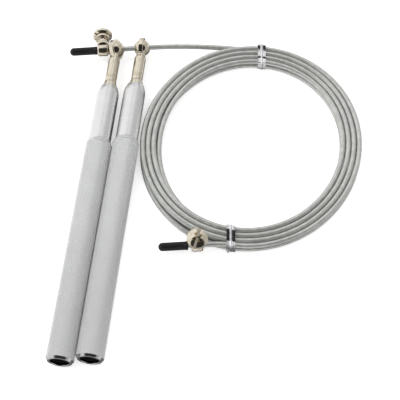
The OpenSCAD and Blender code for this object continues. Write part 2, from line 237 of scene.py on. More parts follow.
def rounded(corners, closed=False, steps=5):
    """The points of a profile whose corners (x, y, size) are rounded. A corner with no size stays sharp."""
    points = []
    for i, corner in enumerate(corners):
        here = Vector(corner[:2])
        size = corner[2] if len(corner) > 2 else 0
        if not size or (not closed and i in (0, len(corners) - 1)):
            points.append(tuple(here))
            continue
        before = Vector(corners[i - 1][:2]) - here
        after = Vector(corners[(i + 1) % len(corners)][:2]) - here
        reach = size / math.tan(before.angle(after) / 2)
        start = here + before.normalized() * min(reach, before.length * 0.49)
        end = here + after.normalized() * min(reach, after.length * 0.49)
        for k in range(steps + 1):
            t = k / steps
            points.append(tuple((1 - t) ** 2 * start + 2 * t * (1 - t) * here + t * t * end))
    return points


def circle_arc(centre, radius, from_degrees, to_degrees, steps):
    """Points of an arc, as (x, y)."""
    points = []
    for k in range(steps + 1):
        a = math.radians(from_degrees + (to_degrees - from_degrees) * k / steps)
        points.append((centre[0] + radius * math.cos(a), centre[1] + radius * math.sin(a)))
    return points


def lathe(profile, sides=96, closed=False, angles=None):
    """Points and faces of a profile (radius, height) turned about Z, evenly or at the given angles."""
    angles = angles or [TURN * k / sides for k in range(sides)]
    count = len(angles)
    points, rows = [], []
    for radius, height in profile:
        first = len(points)
        if radius < 1e-6:
            points.append((0, 0, height))
            rows.append([first] * count)
        else:
            points += [(radius * math.cos(a), radius * math.sin(a), height) for a in angles]
            rows.append(list(range(first, first + count)))
    return points, faces_between(rows, closed)


def join_rows(low, high):
    """Faces between two rings of points. Where a ring is a single point, they are triangles."""
    faces = []
    for k in range(len(low)):
        n = (k + 1) % len(low)
        faces.append(tuple(dict.fromkeys((low[k], low[n], high[n], high[k]))))
    return faces


def moved(shape, matrix):
    """A shape moved by a matrix given in millimetres."""
    points, faces = shape
    return [tuple(matrix @ Vector(p)) for p in points], faces


def faces_between(rows, closed=False):
    """Faces between each row of points and the next, and from the last to the first if it is closed."""
    pairs = list(zip(rows, rows[1:])) + ([(rows[-1], rows[0])] if closed else [])
    return [face for low, high in pairs for face in join_rows(low, high)]


def tube_faces(rings, count, closed=False):
    """Faces of a tube whose points come in rings of count points."""
    return faces_between([range(i * count, (i + 1) * count) for i in range(rings)], closed)


def end_faces(rings, count):
    """The first and last ring of a tube as faces."""
    return [tuple(range(count))[::-1], tuple(range((rings - 1) * count, rings * count))]


def prism(outline, low, high):
    """An outline (x, y) drawn upwards from low to high."""
    count = len(outline)
    points = [(x, y, z) for z in (low, high) for x, y in outline]
    return points, end_faces(2, count) + tube_faces(2, count)


# ------------------------------------------------------------ node tools

class Nodes:
    """Short calls that build a node tree. A value is a number, a colour, a vector or a node's output."""

    def __init__(self, tree):
        self.tree = tree
        tree.nodes.clear()

    def add(self, kind, settings=None, **inputs):
        """A node of a kind, with its settings, and its inputs by name with _ for a space."""
        node = self.tree.nodes.new(kind)
        for key, value in (settings or {}).items():
            setattr(node, key, value)
        for key, value in inputs.items():
            self.put(node.inputs[key.replace("_", " ")], value)
        return node

    def put(self, socket, value):
        if isinstance(value, bpy.types.NodeSocket):
            self.tree.links.new(value, socket)
        elif value is not None:
            socket.default_value = value

    def maths(self, operation, first, second=None):
        node = self.tree.nodes.new("ShaderNodeMath")
        node.operation = operation
        self.put(node.inputs[0], first)
        self.put(node.inputs[1], second)
        return node.outputs[0]

    def dot(self, vector, direction):
        node = self.tree.nodes.new("ShaderNodeVectorMath")
        node.operation = "DOT_PRODUCT"
        self.put(node.inputs[0], vector)
        node.inputs[1].default_value = direction
        return node.outputs["Value"]

    def scaled(self, vector, scale):
        node = self.tree.nodes.new("ShaderNodeVectorMath")
        node.operation = "MULTIPLY"
        self.put(node.inputs[0], vector)
        node.inputs[1].default_value = scale
        return node.outputs[0]

    def between(self, value, low, high, to_low=0.0, to_high=1.0):
        """Maps low..high to to_low..to_high with soft ends."""
        node = self.add("ShaderNodeMapRange", {"interpolation_type": "SMOOTHSTEP"})
        for socket, item in zip(node.inputs, (value, low, high, to_low, to_high)):
            self.put(socket, item)
        return node.outputs[0]

    def blend(self, amount, first, second):
        """A colour between two colours."""
        node = self.tree.nodes.new("ShaderNodeMix")
        node.data_type = "RGBA"
        self.put(node.inputs[0], amount)
        self.put(node.inputs[6], first)
        self.put(node.inputs[7], second)
        return node.outputs[2]

    def shaders_added(self, first, second):
        node = self.tree.nodes.new("ShaderNodeAddShader")
        self.put(node.inputs[0], first.outputs[0])
        self.put(node.inputs[1], second.outputs[0])
        return node

    def local(self):
        """The point in the object's own metres."""
        return self.add("ShaderNodeTexCoord").outputs["Object"]

    def noise(self, vector, scale, detail=3.0, roughness=0.5):
        node = self.add("ShaderNodeTexNoise", Vector=vector, Scale=scale, Detail=detail,
                        Roughness=roughness)
        return node.outputs["Fac"]

    def bump(self, height, strength, distance):
        """The surface's direction with bumps as high as distance, in metres."""
        node = self.add("ShaderNodeBump", Height=height, Strength=strength, Distance=distance)
        return node.outputs["Normal"]


def rgb(r, g, b):
    return (r, g, b, 1.0)


def material(name, build):
    """A material whose shader node is made by a function of the tree's Nodes."""
    made = bpy.data.materials.new(name)
    made.use_nodes = True
    nodes = Nodes(made.node_tree)
    shader = build(nodes)
    nodes.add("ShaderNodeOutputMaterial", Surface=shader.outputs[0])
    return made


# ------------------------------------------------------------ materials

def nickel(n):
    """Polished nickel plate, warm, with haze, tarnish, hairline scratches and painted shade darkening its
    crevices.
    """
    at = n.local()
    haze = n.noise(at, 180, 4)
    tarnish = n.between(n.noise(at, 420, 5), 0.42, 0.72)
    scratches = n.noise(n.scaled(at, (0.35, 3.0, 1.0)), 2600, 2)
    colour = n.blend(tarnish, rgb(0.81, 0.745, 0.62), rgb(0.67, 0.60, 0.47))
    # Painted shade: near-black brown in crevices and joints between parts, where ambient occlusion finds
    # them closed in.
    painted_shade_openness = n.add("ShaderNodeAmbientOcclusion", {"samples": 8}, Distance=0.0016).outputs["AO"]
    colour = n.blend(n.between(painted_shade_openness, 0.08, 0.5), rgb(0.07, 0.055, 0.04), colour)
    return n.add("ShaderNodeBsdfPrincipled", Base_Color=colour, Metallic=1.0,
                 Roughness=n.between(haze, 0.3, 0.7, 0.07, 0.17),
                 Normal=n.bump(scratches, 0.06, 0.00002))


def satin_sleeve(n):
    """Smooth satin anodised aluminium, with faint turning lines round its axis."""
    at = n.local()
    lines = n.noise(n.scaled(at, (0.02, 0.02, 1.0)), 2600, 2)
    cloud = n.noise(at, 110, 4)
    colour = n.blend(n.between(cloud, 0.3, 0.7), rgb(0.83, 0.835, 0.83), rgb(0.88, 0.885, 0.88))
    return n.add("ShaderNodeBsdfPrincipled", Base_Color=colour, Metallic=1.0,
                 Roughness=n.between(lines, 0.3, 0.7, 0.27, 0.33),
                 Normal=n.bump(lines, 0.05, 0.00001))


def knurled_grip(n):
    """Anodised aluminium, with painted shade in the knurl's grooves, on the bare lower end and inside the
    bore.
    """
    at = n.local()
    split = n.add("ShaderNodeSeparateXYZ", Vector=at)
    x, y, height = split.outputs
    radius = n.maths("SQRT", n.maths("ADD", n.maths("MULTIPLY", x, x), n.maths("MULTIPLY", y, y)))
    # Painted shade: below the crests, in the knurl's grooves and on the bare lower end, the colour is the
    # darker low.
    crest = n.between(radius, (GRIP_R - KNURL_DEPTH + 0.01) * MM, GRIP_R * MM)
    outside = n.between(radius, (GRIP_BORE_R + 0.02) * MM, (GRIP_BORE_R + 0.3) * MM)
    knurled = n.between(height, (KNURL_BOTTOM - 0.15) * MM, (KNURL_BOTTOM + 0.05) * MM)
    shoulder = n.between(height, (KNURL_TOP - 0.1) * MM, (KNURL_TOP + 0.4) * MM)
    grain = n.noise(at, 1400, 3)
    worn = n.between(n.noise(at, 70, 4), 0.35, 0.7)
    high = n.blend(worn, rgb(0.93, 0.935, 0.94), rgb(0.97, 0.975, 0.98))
    high = n.blend(shoulder, high, rgb(0.74, 0.745, 0.745))
    low = n.blend(knurled, rgb(0.60, 0.605, 0.605), rgb(0.68, 0.685, 0.68))
    # Darker towards the grip's end, by up to a share of 0.15 of grey.
    darker_to_end = n.between(height, GRIP_END * MM, SEAM * MM, 0.15, 0.0)
    colour = n.blend(darker_to_end, n.blend(crest, low, high), rgb(0.4, 0.4, 0.4))
    # Painted shade: near black inside the bore.
    colour = n.blend(outside, rgb(0.03, 0.03, 0.03), colour)
    rough = n.maths("MULTIPLY", n.between(knurled, 0, 1, 0.5, 1.0), n.between(grain, 0.3, 0.7, 0.28, 0.42))
    return n.add("ShaderNodeBsdfPrincipled", Base_Color=colour,
                 Metallic=n.between(knurled, 0, 1, 1.0, 0.55), Roughness=rough,
                 Normal=n.bump(grain, 0.25, 0.00002))


def black_rubber(n):
    """Smooth black rubber with a fine grain and dust-pale scuffs."""
    at = n.local()
    grain = n.noise(at, 2400, 3)
    scuff = n.between(n.noise(n.scaled(at, (1, 1, 0.3)), 500, 5), 0.52, 0.8)
    colour = n.blend(scuff, rgb(0.010, 0.010, 0.011), rgb(0.035, 0.035, 0.037))
    return n.add("ShaderNodeBsdfPrincipled", Base_Color=colour,
                 Roughness=n.between(scuff, 0, 1, 0.42, 0.58),
                 Specular_IOR_Level=0.25, Normal=n.bump(grain, 0.2, 0.00003))


def tie_foil(n):
    """Glossy metallised film, creased where it was bent."""
    at = n.local()
    creases = n.noise(at, 900, 3, 0.6)
    tone = n.noise(at, 300, 2)
    colour = n.blend(n.between(tone, 0.3, 0.7), rgb(0.78, 0.79, 0.80), rgb(0.95, 0.95, 0.95))
    return n.add("ShaderNodeBsdfPrincipled", Base_Color=colour, Metallic=1.0,
                 Roughness=n.between(tone, 0.3, 0.7, 0.05, 0.12),
                 Normal=n.bump(creases, 0.15, 0.00008))


def coated_cable(n):
    """Twisted steel strands seen through a clear glossy coat.

    U runs along the cable in centimetres, and V round it with the twist, from 0 to 1.
    """
    uv = n.add("ShaderNodeSeparateXYZ", Vector=n.add("ShaderNodeTexCoord").outputs["UV"])
    along, around = uv.outputs[0], uv.outputs[1]
    strand = n.maths("FRACT", n.maths("MULTIPLY", around, STRANDS))
    from_crest = n.maths("MULTIPLY", n.maths("ABSOLUTE", n.maths("SUBTRACT", strand, 0.5)), 2.0)
    lay = n.maths("ADD", n.maths("MULTIPLY", strand, 3.0), n.maths("MULTIPLY", along, 3.4))
    wires = n.maths("ABSOLUTE", n.maths("SINE", n.maths("MULTIPLY", lay, math.pi)))
    mottle = n.noise(n.local(), 350, 4)
    steel = n.blend(n.between(mottle, 0.3, 0.7), rgb(0.60, 0.61, 0.58), rgb(0.73, 0.74, 0.705))
    # Painted shade: dark lines between the wires and dark valleys between the strands.
    steel = n.blend(n.between(wires, 0.0, 0.5, 0.15, 0.0), steel, rgb(0.22, 0.22, 0.21))
    colour = n.blend(n.between(from_crest, 0.4, 1.0, 0.0, 0.35), steel, rgb(0.16, 0.16, 0.155))
    return n.add("ShaderNodeBsdfPrincipled", Base_Color=colour, Metallic=0.7, Roughness=0.38,
                 Coat_Weight=0.7, Coat_Roughness=n.between(mottle, 0.3, 0.7, 0.10, 0.22), Coat_IOR=1.5,
                 Normal=n.bump(wires, 0.12, 0.00004))


def bearing_steel(n):
    """Ground bearing steel with fine grinding marks."""
    at = n.local()
    marks = n.noise(n.scaled(at, (1, 1, 6)), 1500, 3)
    colour = n.blend(n.between(marks, 0.3, 0.7), rgb(0.55, 0.56, 0.58), rgb(0.68, 0.69, 0.70))
    return n.add("ShaderNodeBsdfPrincipled", Base_Color=colour, Metallic=1.0,
                 Roughness=n.between(marks, 0.3, 0.7, 0.12, 0.26), Normal=n.bump(marks, 0.1, 0.00001))


def turned_steel(n):
    """Plain turned steel with coarse tool marks."""
    at = n.local()
    marks = n.noise(n.scaled(at, (6, 1, 6)), 900, 4)
    colour = n.blend(n.between(marks, 0.3, 0.7), rgb(0.48, 0.49, 0.49), rgb(0.66, 0.67, 0.67))
    return n.add("ShaderNodeBsdfPrincipled", Base_Color=colour, Metallic=1.0,
                 Roughness=n.between(marks, 0.3, 0.7, 0.25, 0.42), Normal=n.bump(marks, 0.2, 0.00002))


NICKEL = material("warm_nickel", nickel)
SLEEVE = material("satin_aluminium", satin_sleeve)
GRIP = material("knurled_aluminium", knurled_grip)
RUBBER = material("black_rubber", black_rubber)
FOIL = material("tie_foil", tie_foil)
CABLE = material("coated_cable", coated_cable)
BEARING = material("bearing_steel", bearing_steel)
TURNED = material("turned_steel", turned_steel)


# ------------------------------------------------------------ handles

def knurl_band():
    """Points and faces of the diamond knurl, its top and bottom rims as rows of points, and their angles.

    The diamonds stand in two sets, one on the grid of rows and columns and one half a step off it both ways.
    The grooves between them cross at the corners. The band's two rims cut the first set's end rows in half.
    """
    step = TURN / KNURLS_ROUND
    pitch = (KNURL_TOP - KNURL_BOTTOM) / KNURL_ROWS
    low_r = GRIP_R - KNURL_DEPTH
    points, faces = [], []

    def put(column, row, radius):
        a = column * step
        points.append((radius * math.cos(a), radius * math.sin(a), KNURL_TOP - row * pitch))
        return len(points) - 1

    on_rows = [[put(i + 0.5, j, low_r) for i in range(KNURLS_ROUND)] for j in range(KNURL_ROWS + 1)]
    off_rows = [[put(i, j + 0.5, low_r) for i in range(KNURLS_ROUND)] for j in range(KNURL_ROWS)]

    def diamond(column, row, right, top, left, bottom):
        """One diamond with a flat top. A missing top or bottom corner makes it half a diamond."""
        f = KNURL_FLAT / 2
        corners = [(right, (f, 0)), (top, (0, -f)), (left, (-f, 0)), (bottom, (0, f))]
        ring = [(c, put(column + dx, row + dy, GRIP_R)) for c, (dx, dy) in corners if c is not None]
        faces.append(tuple(flat for _, flat in ring))
        for k, (corner, flat) in enumerate(ring):
            next_corner, next_flat = ring[(k + 1) % len(ring)]
            if None in (top, bottom) and {corner, next_corner} == {left, right}:
                continue
            faces.append((corner, next_corner, next_flat, flat))
        return {c: flat for c, flat in ring}

    rims = {0: [], KNURL_ROWS: []}
    for j in range(KNURL_ROWS + 1):
        for i in range(KNURLS_ROUND):
            left, right = on_rows[j][i - 1], on_rows[j][i]
            top = off_rows[j - 1][i] if j > 0 else None
            bottom = off_rows[j][i] if j < KNURL_ROWS else None
            flats = diamond(i, j, right, top, left, bottom)
            if j in rims:
                rims[j] += [left, flats[left], flats[right]]
            if j < KNURL_ROWS:
                diamond(i + 0.5, j + 0.5, off_rows[j][(i + 1) % KNURLS_ROUND], on_rows[j][i],
                        off_rows[j][i], on_rows[j + 1][i])
    angles = [step * (i + offset) for i in range(KNURLS_ROUND)
              for offset in (-0.5, -KNURL_FLAT / 2, KNURL_FLAT / 2)]
    return points, faces, rims[0], rims[KNURL_ROWS], angles


def grip_shape():
    """The knurl band closed by a turned shoulder, socket, bore, end face and chamfer."""
    points, faces, top_rim, bottom_rim, angles = knurl_band()
    socket_r = SPIGOT_R + 0.05
    socket_low = SEAM - SPIGOT_LENGTH - 0.5
    profile = rounded([
        (GRIP_R - KNURL_DEPTH, KNURL_TOP + 0.12),
        (GRIP_R - 0.02, KNURL_TOP + 0.45, 0.2),
        (GRIP_R - 0.05, SEAM - 1.9, 1.5),
        (SLEEVE_R + 0.3, SEAM, 0.35),
        (socket_r, SEAM, 0.1),
        (socket_r, socket_low),
        (GRIP_BORE_R, socket_low),
        (GRIP_BORE_R, GRIP_END + 0.4, 0.3),
        (GRIP_BORE_R + 0.4, GRIP_END, 0.15),
        (GRIP_R - 1.05, GRIP_END, 0.2),
        (GRIP_R - KNURL_DEPTH - 0.12, GRIP_END + 1.15, 0.3),
        (GRIP_R - KNURL_DEPTH - 0.02, KNURL_BOTTOM - 0.05),
    ])
    more_points, more_faces = lathe(profile, angles=angles)
    offset = len(points)
    count = len(angles)
    points += more_points
    faces += [tuple(i + offset for i in face) for face in more_faces]
    first = list(range(offset, offset + count))
    last = list(range(len(points) - count, len(points)))
    faces += join_rows(top_rim, first) + join_rows(last, bottom_rim)
    return points, faces


def sleeve_shape():
    """Bearing housing: spigot, smooth body, cone at the top, lip, bearing seat and snap ring groove."""
    spigot_low = SEAM - SPIGOT_LENGTH
    groove_r, groove_top, groove_low = 5.35, SLEEVE_TOP - 27.55, SLEEVE_TOP - 28.6
    mouth_r, lip = 4.5, 1.8
    return lathe(rounded([
        (SPIGOT_R, spigot_low, 0.2),
        (SPIGOT_R, SEAM + 0.05),
        (SLEEVE_R, SEAM + 0.05, 0.3),
        (SLEEVE_R, SLEEVE_TOP - 5.2, 3.0),
        (SLEEVE_R - 0.3, SLEEVE_TOP - 3.4, 2.5),
        (SLEEVE_R - 1.4, SLEEVE_TOP - 0.2, 0.25),
        (mouth_r + 0.05, SLEEVE_TOP, 0.08),
        (mouth_r, SLEEVE_TOP - 0.15),
        (mouth_r, SLEEVE_TOP - lip),
        (BEARING_R, SLEEVE_TOP - lip),
        (BEARING_R, groove_top), (groove_r, groove_top), (groove_r, groove_low), (BEARING_R, groove_low),
        (BEARING_R, spigot_low),
    ], closed=True), closed=True, sides=128)


def eye_shape_stem():
    """Stem of the eye: a cup under the ball, shoulder, stem, flared foot and the journal in the bearings."""
    neck_r = 2.7
    neck_top = -math.sqrt(SOCKET_R ** 2 - neck_r ** 2)
    cup_edge = math.degrees(math.asin(neck_r / SOCKET_R))
    shoulder_r = 3.1
    foot_r, foot_low, foot_top = 4.2, SLEEVE_TOP - 1.4, SLEEVE_TOP + 3.2
    journal_r, journal_top, journal_low = 2.49, SLEEVE_TOP - 1.85, SLEEVE_TOP - 27.35
    thread_r, thread_low = 2.0, SLEEVE_TOP - 32.55
    outside = rounded([
        (0, thread_low),
        (thread_r, thread_low, 0.4),
        (thread_r, journal_low),
        (journal_r, journal_low, 0.2),
        (journal_r, journal_top),
        (shoulder_r, journal_top, 0.15),
        (shoulder_r, foot_low),
        (foot_r, foot_low, 0.1),
        (foot_r, SLEEVE_TOP + 0.7, 0.6),
        (STEM_R + 0.25, foot_top - 0.15, 0.3),
        (STEM_R - 0.12, foot_top, 0.06),
        (STEM_R, foot_top + 0.18, 0.1),
        (STEM_R, -EYE_R - 2.2, 1.6),
        (neck_r + 0.1, -EYE_R - 0.4, 1.0),
        (neck_r, neck_top, 0.12),
    ])
    cup = circle_arc((0, 0), SOCKET_R, -90 + cup_edge * 0.96, -90, 8)
    return lathe(outside + cup, sides=96)


def eye_shape_ring(lean):
    """Ring of the eye, turned about the local X axis and leaned about the handle."""
    edge = math.degrees(math.asin(EYE_HALF_WIDTH / SOCKET_R))
    inner = circle_arc((0, 0), SOCKET_R, edge, -edge, 12)
    outer = rounded([
        (inner[-1][0], -EYE_HALF_WIDTH),
        (EYE_R, -EYE_HALF_WIDTH, 0.45),
        (EYE_R, EYE_HALF_WIDTH, 0.45),
        (inner[0][0], EYE_HALF_WIDTH),
    ])
    shape = lathe(outer[:-1] + inner[:-1], sides=128, closed=True)
    turn = Matrix.Rotation(math.radians(-lean), 4, "Z") @ Matrix.Rotation(math.radians(90), 4, "Y")
    return moved(shape, turn)


def ball_shape():
    """Ball with two flats and the cable's bore along Z."""
    bore_r = CABLE_R + BORE_GAP
    flat_edge = math.degrees(math.asin(BALL_FLAT / BALL_R))
    sphere = circle_arc((0, 0), BALL_R, -flat_edge, flat_edge, 40)
    inside = rounded([
        (sphere[-1][0], BALL_FLAT),
        (bore_r, BALL_FLAT, 0.18),
        (bore_r, -BALL_FLAT, 0.18),
        (sphere[0][0], -BALL_FLAT),
    ])
    return lathe(sphere + inside[1:-1], sides=96, closed=True)


def build_handle(side):
    place = handle_place(side)
    grip = new_object(f"grip_knurled_{side}", *grip_shape())
    finish_piece(grip, place, GRIP, f"handle_{side}", [f"grip_{side}"], 22)
    sleeve = new_object(f"bearing_sleeve_{side}", *sleeve_shape())
    finish_piece(sleeve, place, SLEEVE, f"handle_{side}", [f"sleeve_{side}"])
    eye = new_object(f"eye_and_stem_{side}", *eye_shape_stem())
    combine(eye, eye_shape_ring(EYE_LEAN[side]), "UNION")
    finish_piece(eye, place, NICKEL, f"eye_{side}", [f"eye_spindle_{side}"], 35)
    ball = new_object(f"ball_{side}", *ball_shape())
    finish_piece(ball, axes_at(EYES[side], ALONG_CABLE, UP), NICKEL, f"ball_{side}",
                 [f"swivel_ball_{side}"])


# ------------------------------------------------------------ clamps and caps

def collar_shape():
    """Collar round the cable, turned about X."""
    bore_r = CABLE_R + BORE_GAP
    chamfer = 0.8
    profile = rounded([
        (bore_r, -COLLAR_HALF, 0.1),
        (COLLAR_R - chamfer, -COLLAR_HALF, 0.25),
        (COLLAR_R, chamfer - COLLAR_HALF, 0.35),
        (COLLAR_R, COLLAR_HALF - chamfer, 0.35),
        (COLLAR_R - chamfer, COLLAR_HALF, 0.25),
        (bore_r, COLLAR_HALF, 0.1),
    ], closed=True)
    return moved(lathe(profile, sides=128, closed=True), Matrix.Rotation(math.radians(90), 4, "Y"))


def screw_shape():
    """Thumb screw turned about Z: shank, flange, neck, bead and thick domed head."""
    tip_r, tip = SHANK_R - 0.3, CABLE_R + 0.08
    flange_r, flange_low, flange_top = 3.4, COLLAR_FLAT + 0.05, 4.85
    neck_r = 2.75
    bead_r, bead_low, bead_top = 4.35, 8.2, 9.72
    groove_r = 3.9
    head_r, head_low = 5.75, 10.3
    dome_r, dome_edge = 9.6, 5.1
    dome_middle = SCREW_TOP - dome_r
    dome_start = dome_middle + math.sqrt(dome_r ** 2 - dome_edge ** 2)
    rim_top = dome_middle + math.sqrt(dome_r ** 2 - head_r ** 2)
    profile = rounded([
        (0, tip),
        (tip_r, tip, 0.2),
        (SHANK_R, CABLE_R + 0.5, 0.1),
        (SHANK_R, flange_low),
        (flange_r, flange_low, 0.2),
        (flange_r, flange_top, 0.25),
        (neck_r, flange_top + 0.02, 0.12),
        (neck_r, bead_low, 0.6),
        (bead_r, bead_low, 0.12),
        (bead_r, bead_top, 0.15),
        (groove_r, bead_top + 0.05, 0.06),
        (groove_r, head_low, 0.06),
        (head_r - 1.05, head_low, 0.15),
        (head_r, head_low + 0.65, 0.18),
        (head_r, rim_top, 0.6),
        (dome_edge, dome_start),
    ])
    start = math.degrees(math.acos(dome_edge / dome_r))
    dome = circle_arc((0, dome_middle), dome_r, start + 1.5, 90, 24)
    return lathe(profile[:-1] + dome, sides=128)


def rectangle(half_x, half_y):
    return [(-half_x, -half_y), (half_x, -half_y), (half_x, half_y), (-half_x, half_y)]


def slot_and_cross():
    """Cutting shapes of the head: a full slot, and a cross whose arms narrow with depth."""
    slot = prism(rectangle(7, SLOT_HALF_WIDTH), SCREW_TOP - SLOT_DEPTH, SCREW_TOP + 1)
    arm_ends = ((0.9, 0.4, SCREW_TOP - 3.4), (3.5, 0.95, SCREW_TOP + 0.5))
    arms = []
    for turn in (45, 135):
        a = math.radians(turn)
        along = Vector((math.cos(a), math.sin(a)))
        across = Vector((-math.sin(a), math.cos(a)))
        points = []
        for half_length, half_width, z in arm_ends:
            for u, v in rectangle(1, 1):
                spot = along * half_length * u + across * half_width * v
                points.append((spot.x, spot.y, z))
        arms.append((points, end_faces(2, 4) + tube_faces(2, 4)))
    return [slot] + arms


def cap_shape():
    """Rubber cap with a rounded closed end at the top and a slight bead at its mouth."""
    hole_r = CABLE_R + 0.04
    hole_end = CABLE_IN_CAP + 0.5
    bead = 0.12
    outside = rounded([
        (hole_r, hole_end),
        (hole_r, 0, 0.1),
        (CAP_R - 0.05, 0, 0.25),
        (CAP_R, 0.5, 0.3),
        (CAP_R, 1.1, 0.2),
        (CAP_R - bead, 1.5, 0.2),
        (CAP_R - bead, CAP_LENGTH - CAP_R),
    ])
    tip_r = CAP_R - bead
    tip = circle_arc((0, CAP_LENGTH - CAP_R), tip_r, 0, 90, 12)
    return lathe([(0, hole_end)] + outside[:-1] + tip, sides=64)


def build_clamp(number):
    place = clamp_place(number)
    collar = new_object(f"collar_{number}", *collar_shape())
    hole_r, over = SHANK_R + 0.05, COLLAR_R + 1
    hole = lathe([(0, 0), (hole_r, 0), (hole_r, over), (0, over)], sides=64)
    flat = prism(rectangle(4, 4), COLLAR_FLAT, over)
    combine(collar, hole, "DIFFERENCE")
    combine(collar, flat, "DIFFERENCE")
    finish_piece(collar, place, NICKEL, f"clamp_{number}", [f"clamp_collar_{number}"])
    screw = new_object(f"thumb_screw_{number}", *screw_shape())
    turn = Matrix.Rotation(math.radians(SLOT_TURN[number]), 4, "Z")
    for cut in slot_and_cross():
        combine(screw, moved(cut, turn), "DIFFERENCE")
    finish_piece(screw, place, NICKEL, f"screw_{number}", [f"clamp_screw_{number}"], 25)
    along = CABLE_AT_CLAMP[number]
    mouth = CLAMPS[number] - along * (COLLAR_HALF + CAP_GAP[number])
    cap = new_object(f"rubber_cap_{number}", *cap_shape())
    finish_piece(cap, axes_at(mouth, -along, UP), RUBBER, f"cap_{number}", [f"end_cap_{number}"])


# ------------------------------------------------------------ the cable

def ease(t):
    """0 before 0, 1 after 1, and a soft step between."""
    t = min(1, max(0, t))
    return t * t * (3 - 2 * t)


def coil_point(turn):
    """A point of the coil's centre line: two layers of four lanes, the lower one wound inwards."""
    angle = COIL_START - 360 * turn
    whole = math.floor(turn)
    start, stop = LANE_CHANGE
    at = whole + ease((turn - whole - start) / (stop - start))
    if at <= LANES - 1:
        out, height = (LANES - 1 - at) * STRAND_PITCH, LOW_LAYER
    elif at >= LANES:
        out, height = (at - LANES) * STRAND_PITCH, TOP_LAYER
    else:
        share = at - LANES + 1
        out, height = -CLIMB_BULGE * math.sin(math.pi * share), LOW_LAYER + LAYER_PITCH * share
    r = COIL_INNER_R + out + COIL_OVAL * math.cos(math.radians(2 * (angle - OVAL_ANGLE)))
    a = math.radians(angle)
    return Vector((COIL_CENTRE[0] + r * math.cos(a), COIL_CENTRE[1] + r * math.sin(a), height))


def hermite(a, pull_a, b, pull_b, t):
    """A point of the curve that leaves a along pull_a and reaches b along pull_b."""
    return ((2 * t ** 3 - 3 * t ** 2 + 1) * a + (t ** 3 - 2 * t ** 2 + t) * pull_a
            + (3 * t ** 2 - 2 * t ** 3) * b + (t ** 3 - t ** 2) * pull_b)


def cable_centre_line():
    """Closely spaced points from the cable's end in the second cap to its end in the first."""
    tail_steps, lead_steps, end_steps = 60, 120, 80
    short = 0.002
    start_heading = (coil_point(short) - coil_point(0)).normalized()
    stop_heading = (coil_point(COIL_TURNS) - coil_point(COIL_TURNS - short)).normalized()
    tail_start = CLAMPS["2"] + ALONG_TAIL * (COLLAR_HALF + STRAIGHT_TAIL)
    tip_2 = CLAMPS["2"] - ALONG_TAIL * (COLLAR_HALF + CAP_GAP["2"] + CABLE_IN_CAP)
    tip_1 = CLAMPS["1"] - ALONG_CABLE * (COLLAR_HALF + CAP_GAP["1"] + CABLE_IN_CAP)
    coil_end = coil_point(COIL_TURNS)
    steps = round(COIL_TURNS * 360)
    line = [tip_2.lerp(tail_start, k / tail_steps) for k in range(tail_steps)]
    line += [hermite(coil_end, stop_heading * TAIL_PULL, tail_start, -ALONG_TAIL * TAIL_PULL,
                     1 - k / tail_steps) for k in range(tail_steps)]
    line += [coil_point(COIL_TURNS * (1 - k / steps)) for k in range(steps)]
    line += [hermite(coil_point(0), -start_heading * LEAD_PULL, EYES["r"], -ALONG_CABLE * LEAD_PULL,
                     k / lead_steps) for k in range(lead_steps)]
    line += [EYES["r"].lerp(tip_1, k / end_steps) for k in range(end_steps + 1)]
    return np.array([tuple(p) for p in line])


def cable_piece(name, line, lengths, start, stop):
    """A stretch of the cable as a closed tube, whose section has a lobe for each strand and turns."""
    rings = max(2, round((stop - start) / RING_STEP)) + 1
    at = np.linspace(start, stop, rings)
    middle = np.stack([np.interp(at, lengths, line[:, k]) for k in range(3)], 1)
    near = 0.4
    ahead = np.stack([np.interp(at + near, lengths, line[:, k]) for k in range(3)], 1)
    behind = np.stack([np.interp(at - near, lengths, line[:, k]) for k in range(3)], 1)
    along = ahead - behind
    along /= np.linalg.norm(along, axis=1)[:, None]
    side = np.cross(along, (0, 0, 1.0))
    side /= np.linalg.norm(side, axis=1)[:, None]
    up = np.cross(side, along)
    count = STRANDS * POINTS_PER_STRAND
    share = np.arange(count) / count
    from_crest = np.abs((share * STRANDS) % 1 - 0.5) * 2
    radius = CABLE_R - STRAND_RELIEF * from_crest ** 2
    angle = TURN * (share[None, :] + at[:, None] / STRAND_LAY)
    points = (middle[:, None, :]
              + (radius * np.cos(angle))[:, :, None] * side[:, None, :]
              + (radius * np.sin(angle))[:, :, None] * up[:, None, :]).reshape(-1, 3)
    faces, spots = [], []
    for i in range(rings - 1):
        for k in range(count):
            n = (k + 1) % count
            faces.append((i * count + k, (i + 1) * count + k, (i + 1) * count + n, i * count + n))
            for ring, column in ((i, k), (i + 1, k), (i + 1, k + 1), (i, k + 1)):
                spots += (at[ring] / 10, column / count)
    ends = [tuple(range(count)), tuple(range((rings - 1) * count, rings * count))[::-1]]
    piece = new_object(name, points.tolist(), faces + ends)
    spots += [0.0] * (4 * count)
    piece.data.uv_layers.new(name="UVMap").data.foreach_set("uv", spots)
    smooth(piece, 50)
    piece.data.materials.append(CABLE)
    return piece


def length_at(line, lengths, point):
    """How far along the cable a point lies."""
    return float(lengths[np.argmin(np.linalg.norm(line - np.array(point), axis=1))])


